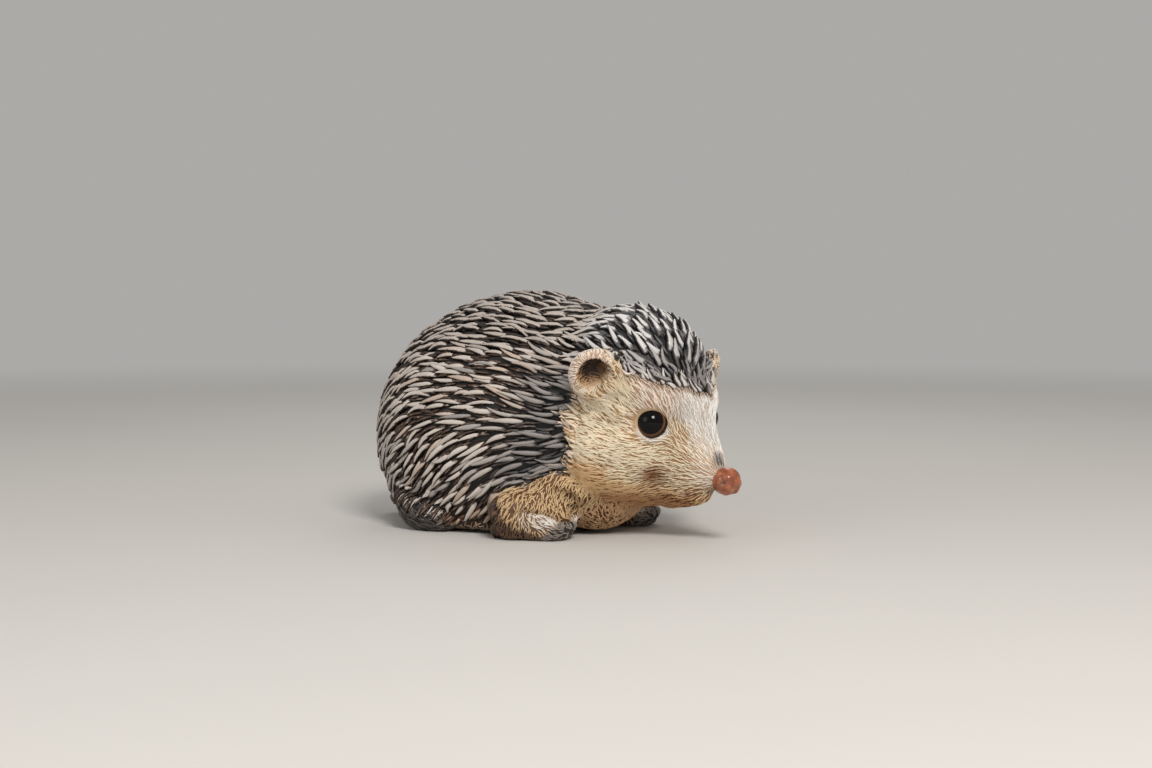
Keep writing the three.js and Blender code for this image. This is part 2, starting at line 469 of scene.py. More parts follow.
def ear_masks(m, over, skin, wander):
    """Adds the washes inside the ears, and the temples, where the face's fur runs up onto them."""
    normals = normals_of(skin.places, skin.quads)
    for side in SIDES:
        inner, up, out = in_ear(skin.places, side)
        inward = toward_nose(inner, up)
        ear = over["ear_" + side]
        hole = np.hypot(inner + 0.8, up - 3.0) + 0.5 * wander
        inside = ear * smooth(5.5, 3.5, out) * smooth(4.5, 1.5, inward)
        m["earwarm"] += inside * smooth(10, 8, hole)
        m["earhole"] += inside * smooth(8.4, 4.2, hole)
        facing = normals @ ear_frame(side)[3]
        m["temple"] += ear * smooth(0.5, 3.5, inward) * smooth(-0.3, 0.1, facing)
    m["ear"] = m["ear"] * (1 - m["temple"])
    m["face"] = np.clip(m["face"] + m["temple"], 0, 1)


def region_masks(skin):
    """Where each paint lies: every mask is a formula of place, and spines and fur take theirs from here."""
    over = node_masks(skin)
    p = skin.places
    h = in_head(p) / MM
    x, z = h[:, 0], h[:, 2]
    side = np.abs(h[:, 1])
    row = p / MM
    along, high = row[:, 0], row[:, 2]
    wander = ripple(p, 12 * MM, 11)
    fore = leg_fur(over, p, row, wander)
    hidden = np.clip(over["foreleg_left"] + over["foreleg_right"] - fore, 0, 1)
    hairline = HAIRLINE_HEIGHT + 10 * (side / 34) ** 1.4 + 1.0 * wander
    ruff = np.interp(z, *RUFF_EDGE) + 1.3 * wander
    bib_top = np.interp(along, *BIB_EDGE) + 1.2 * wander
    bib = smooth(-1, 1.5, bib_top - high) * smooth(1, 6, along)
    ahead = np.minimum(x - ruff, hairline - z)
    face = smooth(-1.2, 1.2, ahead) * (over["head"] + over["trunk"] * smooth(33, 37, z))
    face = face * (1 - fore)
    belly = over["trunk"] * smooth(4.5, 1.5, high)
    below = (over["trunk"] + over["head"]) * bib * (1 - face)
    chest = np.clip(over["chest"] + belly + below, 0, 1) * (1 - fore)
    spiny = np.clip(over["trunk"] + over["head"] + hidden - face - fore - chest * (1 - over["chest"]), 0, 1)
    throat = (1 - spiny) * smooth(-38, -30, x)
    neck = smooth(-58, -34, x - 14 * smooth(42, 60, z)) * smooth(98, 80, z)
    masks = {
        "spiny": smooth(0.4, 0.9, spiny * (1 - over["chest"])),
        "face": np.clip(face, 0, 1),
        "crown": spiny * smooth(-20, -4, x + 2 * wander) * smooth(68, 80, z),
        "lead": smooth(-40, -12, x),
        "ruff": face * smooth(6.5, 2.5, x - ruff) * smooth(78, 72, z) * smooth(34, 40, z),
        # The top of the back and the rump: painted shade, their spines painted darker than the flanks'
        "back": spiny * np.maximum(smooth(86, 108, high), smooth(-44, -84, along)),
        "low": np.maximum(spiny * smooth(17, 8, high + 1.5 * wander), hidden),
        # The hairline band: the petals' own grey paint, and on the skin beneath them a dark painted shadow
        # line
        "hairline": (face + spiny) * smooth(3.2, 1.4, np.abs(hairline + 1 - z)) * smooth(-10, -4, x),
        "chest": chest,
        "leg": fore,
        "ear": over["ear_left"] + over["ear_right"],
        "hind": smooth(0.3, 0.7, over["hind_foot_left"] + over["hind_foot_right"]),
        "tail": over["tail"],
        # Painted shade: the front of the belly next to the floor, painted near black
        "under": np.clip(belly * smooth(10, -10, along), 0, 1),
        "hidden": hidden,
        "fine": smooth(0, 38, x),
    }
    # Spines behind the cheek and over the shoulder: partly their slate grey, partly painted shade darkening
    # them
    masks["near_head"] = masks["spiny"] * neck
    masks.update(face_masks(face, throat, h, hairline, wander))
    for key in ("toe", "tip", "crease", "sole", "pawtop", "earhole", "earwarm", "temple"):
        masks[key] = np.zeros(len(p))
    for name in SIDES:
        masks["ear_" + name] = over["ear_" + name]
        masks["over_foreleg_" + name] = over["foreleg_" + name]
    paw_masks(masks, over, row, wander)
    ear_masks(masks, over, skin, wander)
    return masks


def groove(p, line, width):
    """How near points lie to a broken line, 1 on it, fading to 0 a width away. Head frame, both sides."""
    h = in_head(p) / MM
    h[:, 1] = np.abs(h[:, 1])
    return bell(line_distance(h, line), width)


def fill_ears(skin):
    """Deepens each ear's bowl towards its top and raises its floor towards the face."""
    for side in SIDES:
        way = ear_frame(side)[3]
        inner, up, out = in_ear(skin.places, side)
        reach = np.hypot(inner, up)
        opening = skin.normals @ way
        inside = smooth(15.5, 13.5, reach) * smooth(-0.1, 0.25, opening) * smooth(-9, -6, out)
        inward = toward_nose(inner, up)
        floor = -3.2 + 8.2 * smooth(-3, 8, inward) - 3.5 * smooth(8, 15, inward)
        rise = np.maximum(floor - out, 0) * smooth(15, 12.5, reach)
        hollow = 2.0 * np.exp(-(((inner + 0.8) / 5) ** 2) - ((up - 3.2) / 5) ** 2)
        skin.places += ((rise - hollow) * inside)[:, None] * way * MM


def wrist(p, masks):
    """How far the skin is cut in over each forepaw, in millimetres, so that the paw stands out."""
    total = np.zeros(len(p))
    z = p[:, 2] / MM
    for side in SIDES:
        back = (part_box("foreleg_" + side)[1].x - p[:, 0]) / MM
        over_paw = z - paw_height(back)
        crease = 2.4 * bell(over_paw, 1.7) * smooth(25, 13, back)
        above = 4.0 * smooth(0, 3, over_paw) * smooth(17, 4, back)
        total += masks["over_foreleg_" + side] * (crease + above)
    return total


def toe_grooves(p, masks):
    """Three lines between four toes on every paw, 1 in the middle of a line."""
    total = np.zeros(len(p))
    for node in ("foreleg_left", "foreleg_right", "hind_foot_left", "hind_foot_right"):
        low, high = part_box(node)
        if node.startswith("fore"):
            middle = SIDES[node[8:]] * PAW_SPREAD + PAW_SHIFT
            over = masks["toe"]
        else:
            middle = (low.y + high.y) / 2
            over = masks["hind"] * smooth(22, 10, (high.x - p[:, 0]) / MM)
        aside = (p[:, 1] - middle) / (TOE_PITCH * MM)
        line = np.clip(np.round(aside), -1, 1)
        near = bell((aside - line) * TOE_PITCH, 1.2)
        total += near * over * (np.abs(aside) < 2) * smooth(0, 3, p[:, 2] / MM)
    return total


def coat_depth(skin):
    """How far the skin sinks, from the swollen solids, so that the coat on it ends where they do."""
    m, z = skin.masks, skin.places[:, 2]
    smooth_fur = m["ear"] + m["hind"] + m["toe"]
    coat = FUR_DEPTH + (SPINE_DEPTH - FUR_DEPTH) * m["spiny"] - (FUR_DEPTH - FOOT_DEPTH) * smooth_fur
    coat -= BROW_RISE * m["spiny"] * m["hairline"]
    coat -= TOP_RISE * m["spiny"] * smooth(78, 104, z / MM)
    return SWELL + skin.soften(coat, 6) * smooth(0.5 * MM, 5 * MM, z)


def carve(depth, p, masks):
    """Adds to the depth what is carved: mouth, dimples, toes, wrists, and the ridge round each eye."""
    depth += 1.1 * MM * groove(p, MOUTH, MOUTH_WIDTH) + 1.7 * MM * groove(p, DIMPLE, 3.8)
    depth += 1.1 * MM * toe_grooves(p, masks) + MM * wrist(p, masks)
    for eye in EYES.values():
        away = np.linalg.norm(p - eye, axis=1) / MM
        depth -= 0.5 * MM * bell(away - LID_RADIUS, 1.1)
        over_under = np.abs(p[:, 2] - eye[2]) / MM / away
        depth += (0.4 + 0.8 * over_under) * MM * bell(away - SOCKET_RADIUS, 0.8)


def carving_masks(m, p):
    """Adds the washes that follow the carving: mouth, dimples and lids."""
    m["lip"] = groove(p, MOUTH, MOUTH_WIDTH)
    m["dimple"] = np.minimum(1.4 * groove(p, DIMPLE, 5.6), 1)
    m["rim"] = np.zeros(len(p))
    m["lid"] = np.zeros(len(p))
    for eye in EYES.values():
        gap = p - eye
        away = np.linalg.norm(gap, axis=1) / MM
        m["lid"] += smooth(12.0, 10.0, away) * smooth(-1.5, -4.5, gap[:, 2] / MM)
        m["rim"] += smooth(10.5, 9.6, away)


def build_skin():
    skin = Skin(*outer_shell(remeshed(flesh_union())))
    over = node_masks(skin)
    thin = over["ear_left"] + over["ear_right"] + over["foreleg_left"] + over["foreleg_right"]
    skin.relax(0.6 * (1 - 0.75 * np.clip(thin, 0, 1)), SMOOTHING)
    skin.masks = region_masks(skin)
    skin.normals = normals_of(skin.places, skin.quads)
    fill_ears(skin)
    depth = coat_depth(skin)
    carve(depth, skin.places, skin.masks)
    skin.places -= depth[:, None] * normals_of(skin.places, skin.quads)
    skin.places[:, 2] = np.maximum(skin.places[:, 2], 0)
    carving_masks(skin.masks, skin.places)
    skin.settle()
    return skin


# ---- the lie of the coat ----
SPINE_SOURCE = from_head(4 * MM, 0, 62 * MM)  # the trunk's spines fan out from inside the head
HIND_WAY = (1.0, 0.0, -0.8)
TAIL_WAY = (-0.6, 0.0, -1.0)
CHEST_WAY = (0.25, -0.1, -1.0)


def steeper(p):
    """How much more steeply than the plain fan the flanks' spines lie, as a slope."""
    x, z = p[:, 0] / MM, p[:, 2] / MM
    low_flank = 0.52 * smooth(62, 46, z) * smooth(9, -9, x) * smooth(-62, -44, x)
    by_neck = 0.42 * smooth(20, 29, x) * smooth(34, 42, z) * smooth(104, 92, z)
    above_arm = 0.32 * np.exp(-(((x - 5) / 12) ** 2) - ((z - 71) / 8) ** 2)
    mid_rump = 0.22 * np.exp(-(((x + 48) / 13) ** 2) - ((z - 72) / 15) ** 2)
    return low_flank + by_neck - above_arm - mid_rump


def nape(p):
    """1 on the back of the head and neck, where the spines lie flat and splay outwards."""
    x, z = p[:, 0] / MM, p[:, 2] / MM
    return smooth(97, 105, z) * smooth(60, 46, x) * smooth(4, 18, x)


def lie(p, n, m):
    """The way the coat lies at each place: a unit vector along the skin."""
    fan = p - SPINE_SOURCE
    fan[:, 0] -= 30 * MM
    fan[:, 2] -= 150 * MM * smooth(-12 * MM, -102 * MM, p[:, 0])
    from_nose = p - NOSE
    way = unit(fan) * (1 - m["lead"])[:, None] + unit(from_nose) * m["lead"][:, None]
    way[:, 2] -= (steeper(p) + 0.4 * nape(p)) * m["spiny"]
    way[:, 1] += 0.4 * nape(p) * m["spiny"] * np.clip(p[:, 1] / (8 * MM), -1, 1)
    over_paw = np.clip(m["pawtop"] + m["toe"], 0, 1)[:, None]
    leg_way = (1 - over_paw) * np.array((-0.45, 0.0, -1.0)) + over_paw * np.array((1.0, 0.0, -0.35))
    for key, here in (("leg", leg_way), ("hind", HIND_WAY), ("tail", TAIL_WAY), ("chest", CHEST_WAY)):
        way = np.where(m[key][:, None] > 0.5, here, way)
    for eye in EYES.values():
        out = p - eye
        near = smooth(22 * MM, 9 * MM, np.linalg.norm(out, axis=1))[:, None]
        way = way + 0.75 * near * unit(out)
    for side in EYES:
        middle, _, high, opening = ear_frame(side)
        out = p - (middle + 3 * MM * high)
        out = out - dot(out, opening)[:, None] * opening
        ear = (m["ear_" + side] * (1 - m["temple"]))[:, None]
        way = way * (1 - ear) + unit(out) * ear
    return unit(way - dot(way, n)[:, None] * n)


def pack(places, ways, along, across):
    """Picks places in turn, each clear of those picked before: an ellipse that lies along the coat."""
    kept = []
    for start in range(0, len(places), 500):
        tree = KDTree(max(1, len(kept)))
        for i in kept:
            tree.insert(Vector(places[i]), i)
        tree.balance()
        fresh = []
        for i in range(start, min(start + 500, len(places))):
            near = [j for _, j, _ in tree.find_range(Vector(places[i]), along)] + fresh
            gap = places[near] - places[i]
            run = dot(gap, ways[near])
            aside = dot(gap, gap) - run * run
            if not np.any((run / along) ** 2 + aside / across ** 2 < 1):
                fresh.append(i)
        kept += fresh
    return np.array(kept)


class Coat:
    """Tufts of one kind, each a closed tapering ridge laid over the skin along its lie."""

    def __init__(self, skin, mask, tries, gap, seed):
        rng = np.random.default_rng(seed)
        self.skin, self.rng = skin, rng
        places, normals, faces = skin.sample(mask, tries, rng)
        at = self.masks_at(faces)
        ways = lie(places, normals, at)
        chosen = pack(places, ways, gap[0] * MM, gap[1] * MM)
        self.roots, self.normals = places[chosen], normals[chosen]
        self.at = {key: value[chosen] for key, value in at.items()}
        self.count = len(chosen)

    def masks_at(self, faces):
        return {key: value[self.skin.quads[faces, 0]] for key, value in self.skin.masks.items()}

    def walk(self, length, stations, wander):
        """Follows the lie from every root, and keeps the path, its normals and the masks on the way."""
        step = (length / (stations - 1))[:, None]
        turn = self.rng.normal(0, wander, self.count)
        bend = self.rng.normal(0, wander * 0.5, self.count)
        place, normal, at = self.roots, self.normals, self.at
        places, normals, seen = [place], [normal], [at]
        for k in range(1, stations):
            way = lie(place, normal, at)
            aside = np.cross(normal, way)
            swing = (turn + bend * (k - stations / 2))[:, None]
            way = unit(way + swing * aside)
            place, normal, faces = self.skin.nearest(place + way * step)
            places.append(place)
            normals.append(normal)
            seen.append(self.masks_at(faces))
        self.path = np.stack(places, axis=1)
        self.path_normals = np.stack(normals, axis=1)
        self.end_at = seen[-1]
        self.washes = {key: np.stack([at[key] for at in seen], axis=1) for key in WASHES}

    def astray(self, regions):
        """Which tufts end over one of the named regions."""
        return sum(self.end_at[key] for key in regions) > 0.5

    def drop(self, gone):
        """Leaves out the tufts marked as gone."""
        kept = ~gone
        self.count = int(kept.sum())
        self.roots, self.path, self.path_normals = self.roots[kept], self.path[kept], self.path_normals[kept]
        self.at = {key: value[kept] for key, value in self.at.items()}
        self.washes = {key: value[kept] for key, value in self.washes.items()}


def loft(name, coat, ring, width, height, lift):
    """Skins each path with a closed ring of points: ring rows are (across, up, crest)."""
    path, up = coat.path, coat.path_normals
    count, stations = path.shape[:2]
    ahead = unit(np.gradient(path, axis=1))
    aside = unit(np.cross(up, ahead))
    up = np.cross(ahead, aside)
    across, rise, crest = (np.array(column) for column in zip(*ring))
    centre_line = path + up * lift[:, :, None]
    points = (
        centre_line[:, :, None]
        + aside[:, :, None] * (width[:, :, None] * across)[..., None]
        + up[:, :, None] * (height[:, :, None] * rise)[..., None]
    )
    ring_count = len(ring)
    base = (np.arange(count) * stations * ring_count)[:, None, None]
    start = base + (np.arange(stations - 1) * ring_count)[None, :, None]
    here = start + np.arange(ring_count)
    turned = start + np.roll(np.arange(ring_count), -1)
    points[..., 2] = np.maximum(points[..., 2], 0.1 * MM)
    sides = np.stack((here, turned, turned + ring_count, here + ring_count), axis=-1).reshape(-1, 4)
    half = ring_count // 2
    strip = np.array([(i, i + 1, ring_count - 2 - i, ring_count - 1 - i) for i in range(half - 1)])
    first = (base[:, 0] + strip.reshape(1, -1)).reshape(-1, 4)[:, ::-1]
    last = (base[:, 0] + (stations - 1) * ring_count + strip.reshape(1, -1)).reshape(-1, 4)
    quads = np.concatenate((sides, first, last))
    made = mesh_object(name, points.reshape(-1, 3), quads)
    per_point = stations * ring_count
    ends = np.linspace(0, 1, stations)
    ends = smooth(-0.02, 0.16, ends) * (1 - 0.55 * smooth(0.9, 1, ends))
    attach(made, "crest", np.tile(np.outer(ends, crest).ravel(), count))
    attach(made, "along", np.tile(np.repeat(np.linspace(0, 1, stations), ring_count), count))
    attach(made, "tuft", np.repeat(coat.rng.uniform(size=count), per_point))
    for key in PAINTED:
        values = coat.washes[key] if key in WASHES else np.repeat(coat.at[key], stations)
        attach(made, key, np.repeat(values.ravel(), ring_count))
    bake_map(made, coat.roots, quads, stations, ring_count)
    return made


BAKE_PATCH = 0.003  # how wide a tuft's patch is on the map


def unwrap(p):
    """Longitude and latitude of each place as seen from the middle of them all, from 0 to 1."""
    q = unit(p - (p.min(axis=0) + p.max(axis=0)) / 2)
    across = np.arctan2(q[:, 1], q[:, 0]) / (2 * math.pi) + 0.5
    return np.stack((across, np.arccos(q[:, 2]) / math.pi), axis=1) * 0.99 + 0.005


def bake_map(made, roots, quads, stations, ring_count):
    """Each tuft is a small patch at its root's place on the unwrap of the skin."""
    layer = made.data.uv_layers.new(name="OFBake")
    corner = quads.ravel()
    tuft, rest = np.divmod(corner, stations * ring_count)
    station, spot = np.divmod(rest, ring_count)
    inner = np.stack((spot / (ring_count - 1), station / (stations - 1)), axis=1) - 0.5
    layer.data.foreach_set("uv", (unwrap(roots)[tuft] + BAKE_PATCH * inner).astype(np.float32).ravel())


# ---- materials ----
def srgb(r, g, b):
    def straight(c):
        c /= 255
        return c / 12.92 if c <= 0.04045 else ((c + 0.055) / 1.055) ** 2.4

    return (straight(r), straight(g), straight(b), 1.0)


# Each region's paint, as sRGB: in the grooves, on the sides of the ridges, and worn on their crests.
PAINTS = {
    # Painted shade: the top of the back and the rump, darker than the flanks
    "back": ((15, 10, 7), (54, 41, 33), (182, 171, 162)),
    "low": ((26, 16, 9), (92, 62, 40), (178, 148, 124)),
    "face": ((168, 128, 86), (208, 182, 143), (234, 220, 192)),
    "ruff": ((134, 98, 74), (198, 170, 148), (232, 214, 198)),
    "temple": ((156, 116, 76), (200, 172, 132), (226, 208, 176)),
    "jaw": ((126, 77, 38), (192, 143, 92), (228, 191, 142)),
    # Partly the throat's own brown, partly painted shade under the jaw
    "chin": ((104, 60, 28), (148, 98, 56), (182, 136, 90)),
    "muzzle": ((202, 173, 147), (226, 206, 184), (243, 231, 215)),
    "brow": ((168, 137, 112), (207, 186, 166), (233, 218, 204)),
    "blaze": ((206, 194, 180), (228, 222, 214), (242, 240, 236)),
    # Painted shadow below the hairline spines
    "fringe": ((112, 83, 61), (162, 135, 113), (200, 179, 158)),
    # The hairline petals' own grey; its dark groove paint on the skin is a painted shadow under them
    "hairline": ((72, 57, 47), (120, 110, 105), (202, 195, 190)),
    "smudge": ((84, 78, 76), (118, 112, 110), (156, 150, 147)),
    "chest": ((92, 54, 26), (142, 98, 60), (200, 162, 122)),
    "leg": ((100, 64, 32), (160, 122, 78), (208, 178, 136)),
    # Painted shade under the belly
    "under": ((40, 28, 20), (64, 48, 36), (92, 74, 58)),
    # Painted shade on the foreleg's lower back corner
    "sole": ((44, 28, 16), (80, 55, 35), (112, 84, 60)),
    "pawtop": ((146, 120, 96), (196, 180, 164), (234, 228, 220)),
    "toe": ((38, 30, 26), (82, 72, 66), (140, 130, 122)),
    "ear": ((184, 154, 130), (218, 197, 178), (236, 222, 208)),
    "earwarm": ((120, 78, 44), (172, 128, 84), (206, 172, 130)),
    "earhole": ((36, 20, 10), (66, 40, 22), (118, 84, 54)),
    "hind": ((14, 10, 7), (43, 36, 31), (76, 68, 62)),
    "tail": ((34, 24, 17), (74, 54, 40), (120, 96, 76)),
    "crown": ((36, 33, 33), (98, 96, 97), (214, 210, 207)),
    # Partly slate grey, partly painted shade behind the cheek and over the shoulder
    "near_head": ((22, 20, 20), (68, 65, 65), (138, 132, 129)),
    "lip": ((74, 48, 32), (110, 78, 54), (140, 104, 76)),
    "dimple": ((80, 44, 18), (120, 73, 36), (158, 108, 64)),
    # Painted shade along the wrist's crease
    "crease": ((62, 38, 20), (106, 74, 48), (158, 128, 96)),
    "rim": ((186, 160, 126), (206, 182, 148), (226, 208, 178)),
    "lid": ((204, 192, 178), (218, 209, 198), (230, 223, 214)),
}
BASE_PAINT = (srgb(18, 12, 8), srgb(74, 54, 42), srgb(202, 192, 183))
ROSY_CREST = srgb(188, 169, 154)
GREY_CREST = srgb(160, 154, 150)
SLOT_PAINTS = {"spines": ("spine_paint", 0.5), "fur": ("fur_paint", 0.57), "paws": ("paw_paint", 0.46)}
PAINTED = list(PAINTS)
# The paints that change along a tuft; it wears the others as they are at its root.
WASHES = ("jaw", "chin", "crease", "brow", "blaze", "fringe", "muzzle", "smudge", "dimple", "lip", "lid",
          "rim", "earwarm", "earhole", "toe", "pawtop", "sole")


class Nodes:
    """A material's node tree, written as a few calls."""

    def __init__(self, name):
        self.material = bpy.data.materials.new(name)
        self.material.use_nodes = True
        self.tree = self.material.node_tree
        self.shader = self.tree.nodes["Principled BSDF"]

    def add(self, kind, inputs=None, output=0, **settings):
        node = self.tree.nodes.new(kind)
        for key, value in settings.items():
            setattr(node, key, value)
        for key, value in (inputs or {}).items():
            self.feed(node.inputs[key], value)
        return node.outputs[output]

    def feed(self, socket, value):
        if isinstance(value, bpy.types.NodeSocket):
            self.tree.links.new(value, socket)
        else:
            socket.default_value = value

    def attribute(self, name):
        return self.add("ShaderNodeAttribute", output="Fac", attribute_name=name)

    def noise(self, scale, detail=3.0, rough=0.55):
        where = self.add("ShaderNodeTexCoord", output="Object")
        inputs = {"Vector": where, "Scale": scale, "Detail": detail, "Roughness": rough}
        return self.add("ShaderNodeTexNoise", inputs)

    def maths(self, operation, a, b=0.0, clamp=False):
        return self.add("ShaderNodeMath", {0: a, 1: b}, operation=operation, use_clamp=clamp)

    def ramp(self, value, low, high, to_low=0.0, to_high=1.0):
        inputs = {"Value": value, "From Min": low, "From Max": high, "To Min": to_low, "To Max": to_high}
        return self.add("ShaderNodeMapRange", inputs, interpolation_type="SMOOTHSTEP")

    def mix(self, factor, a, b):
        inputs = {"Factor": factor, 6: a, 7: b}
        return self.add("ShaderNodeMix", inputs, output=2, data_type="RGBA")

    def bump(self, height, distance):
        return self.add("ShaderNodeBump", {"Height": height, "Distance": distance, "Strength": 0.5})

    def set(self, **inputs):
        for key, value in inputs.items():
            self.feed(self.shader.inputs[key.replace("_", " ")], value)


def wear(n, tuft):
    """How far the paint is rubbed: most on crests. Less pale crest at the crown's roots and on the back is
    painted shade.
    """
    blot = n.noise(430.0, 4.0, 0.6)
    worn = n.maths("ADD", n.attribute("crest"), n.maths("MULTIPLY", n.maths("SUBTRACT", blot, 0.5), 0.8))
    # Painted shade: the crown's spines are darker towards their roots, under the lifted tips
    root = n.maths("MULTIPLY", n.attribute("crown"), n.ramp(n.attribute("along"), 0.5, 0.12))
    worn = n.maths("SUBTRACT", worn, n.maths("MULTIPLY", root, 0.36))
    dull = n.maths("MULTIPLY", n.attribute("face"), n.ramp(tuft, 0.32, 0.18))
    worn = n.maths("SUBTRACT", worn, n.maths("MULTIPLY", dull, 0.4))
    # Painted shade: less pale crest on the back and rump
    return n.maths("SUBTRACT", worn, n.maths("MULTIPLY", n.attribute("back"), 0.12))


def moulded_paint(name, rough):
    """Worn paint on resin: dark in the grooves, pale where the crests were rubbed."""
    n = Nodes(name)
    tuft = n.attribute("tuft")
    low, mid, high = BASE_PAINT
    high = n.mix(n.ramp(tuft, 0.74, 0.94), high, ROSY_CREST)
    high = n.mix(n.ramp(tuft, 0.22, 0.05), high, GREY_CREST)
    for region, (groove_paint, side_paint, crest_paint) in PAINTS.items():
        here = n.attribute(region)
        low = n.mix(here, low, srgb(*groove_paint))
        mid = n.mix(here, mid, srgb(*side_paint))
        high = n.mix(here, high, srgb(*crest_paint))
    grain = n.noise(2600.0, 2.0)
    worn = wear(n, tuft)
    colour = n.mix(n.ramp(worn, 0.12, 0.42), low, mid)
    colour = n.mix(n.ramp(worn, 0.5, 0.72), colour, high)
    cloud = n.maths("ADD", n.noise(75.0, 2.0), n.maths("MULTIPLY", tuft, 0.3))
    shade = n.ramp(cloud, 0.35, 0.95, 0.84, 1.04)
    colour = n.add("ShaderNodeVectorMath", {0: colour, 1: shade}, operation="MULTIPLY")
    gloss = n.ramp(grain, 0.3, 0.7, rough - 0.07, rough + 0.07)
    wet = n.maths("MULTIPLY", n.maths("ADD", n.attribute("toe"), n.attribute("hind"), clamp=True), 0.24)
    n.set(Base_Color=colour, Roughness=n.maths("SUBTRACT", gloss, wet), Normal=n.bump(grain, 0.12 * MM))
    return n.material


# ---- coat pieces ----
# The rings that tufts are skinned with: across, up, and how much of a crest each point is.
LEAF_RING = [(-1, -0.1, 0), (-0.86, 0.62, 0.28), (-0.5, 0.97, 0.95), (0.45, 1.0, 1), (0.86, 0.66, 0.3),
             (1, -0.1, 0), (0.5, -0.3, 0), (-0.5, -0.3, 0)]
FINE_RING = [(-1, -0.15, 0), (-0.4, 0.9, 0.95), (0.4, 1.0, 1), (1, -0.15, 0)]
UNDERSIDE = [(1, -0.1, 0), (0.5, -0.35, 0), (-0.5, -0.35, 0)]
HAIR_RING = [(-1, -0.1, 0), (-0.5, 0.75, 0.9), (0.5, 0.8, 1)] + UNDERSIDE
LOW_RING = [(-1, -0.1, 0), (-0.5, 0.85, 0.42), (0.45, 0.95, 0.54)] + UNDERSIDE


def leaf(t):
    """A willow leaf: narrow at both ends, widest behind the middle."""
    return np.sin(math.pi * np.clip(t, 0.015, 0.985) ** 0.8) ** 0.75


def spike(t):
    """Broad near the root and running out to a point."""
    return smooth(-0.12, 0.22, t) * np.clip(1.02 - t, 0.02, 1) ** 0.65


def tufts(skin, name, mask, spec, seed):
    """One kind of tuft over one region; spec gives its sizes in millimetres."""
    coat = Coat(skin, mask, spec["tries"], spec["gap"], seed)
    if spec["wears"]:
        coat.at[spec["wears"]] = np.ones(coat.count)

    def between(key):
        return coat.rng.uniform(*spec[key], coat.count)[:, None] * MM

    stations, wander, avoided = spec["stations"], spec["wander"], spec["clear_of"]
    length = between("length")[:, 0] * (1 + spec["finer"] * (0.5 - coat.at["fine"]))
    coat.walk(length, stations, wander)
    if avoided:
        for _ in range(2):
            length = np.where(coat.astray(avoided), 0.55 * length, length)
            coat.walk(length, stations, wander)
        coat.drop(coat.astray(avoided))
    t = np.linspace(0, 1, stations)[None]
    size = 1 + spec["finer"] * (0.5 - coat.at["fine"][:, None])
    wide = between("width") * spec["shape"](t) * size
    tall = between("height") * smooth(-0.08, 0.32, t) * (1 - 0.5 * smooth(0.55, 1, t))
    sunk = spec["sunk"] * MM * (1 - smooth(0, 0.22, t))
    flat = 1 - 0.6 * nape(coat.roots)[:, None]
    raised = between("lift") * flat * smooth(0.3, 1.0, t) ** 1.3 - sunk
    return loft(name, coat, spec["ring"], wide, tall, raised)


USUAL = dict(stations=6, ring=FINE_RING, shape=leaf, wander=0.12, sunk=0.3, finer=0, clear_of=(), wears=None)


def kind(tries, gap, length, width, height, lift, **more):
    """A kind of tuft, in millimetres: how far apart roots stay, along and across, then four ranges."""
    sizes = dict(tries=tries, gap=gap, length=length, width=width, height=height, lift=lift)
    return {**USUAL, **sizes, **more}


NO_SPINES = ("leg", "ear", "temple", "chest")
SPINE = kind(40000, (9.0, 3.2), (11.5, 20.5), (1.2, 1.9), (2.3, 3.5), (0.5, 2.5), stations=9, ring=LEAF_RING,
             sunk=0.8, clear_of=NO_SPINES + ("hind", "tail"))
LOW_SPINE = kind(40000, (5.1, 2.2), (8, 13), (0.8, 1.25), (1.5, 2.5), (0.0, 0.8), ring=LOW_RING,
                 clear_of=NO_SPINES)
CROWN = kind(9000, (6.4, 4.4), (9, 13.5), (2.1, 3.1), (2.2, 3.4), (1.4, 4.4), stations=8, ring=LEAF_RING,
             shape=spike, wander=0.24, sunk=0.5, clear_of=("ear", "temple"))
RUFF = kind(12000, (2.5, 1.9), (5.5, 9.5), (1.1, 1.8), (1.5, 2.4), (2.2, 3.8), stations=8, ring=LEAF_RING,
            shape=spike, wander=0.22, sunk=0.4)
HAIRLINE = kind(8000, (3.2, 2.5), (6.5, 11.5), (1.3, 2.4), (1.3, 2.4), (0.8, 4.0), stations=7, ring=LEAF_RING,
                shape=spike, wander=0.22, clear_of=("ear", "temple"), wears="hairline")
FACE_FUR = kind(120000, (2.0, 0.66), (5, 9), (0.32, 0.46), (0.4, 0.64), (0.0, 0.2), wander=0.2, finer=0.4,
                clear_of=("spiny",))
TEMPLE_FUR = kind(6000, (2.6, 0.8), (5, 8), (0.35, 0.5), (0.38, 0.6), (0.0, 0.2), wander=0.14,
                  clear_of=("spiny",))
LEG_FUR = kind(60000, (2.0, 0.8), (3.6, 6.5), (0.38, 0.56), (0.45, 0.75), (0.0, 0.3), wander=0.38)
CHEST_FUR = kind(40000, (2.3, 1.0), (3, 5.5), (0.42, 0.62), (0.55, 0.95), (0.0, 0.4), wander=0.8)
EAR_FUR = kind(16000, (1.9, 0.64), (2.6, 4.6), (0.34, 0.52), (0.22, 0.36), (0.0, 0.1), stations=5, wander=0.2)
HOLLOW_FUR = kind(3000, (3.0, 1.3), (2.5, 5), (0.25, 0.4), (0.3, 0.5), (0.2, 0.8), stations=5, wander=0.3)
FOOT_FUR = kind(6000, (4.6, 1.2), (6, 10), (0.5, 0.8), (0.35, 0.7), (0.0, 0.2), wander=0.15, ring=HAIR_RING)
TOE_FUR = kind(3000, (4.0, 1.3), (4, 7), (0.45, 0.7), (0.3, 0.5), (0.0, 0.1), ring=HAIR_RING)


# ---- eyes and nose ----
BALL_RINGS = 40


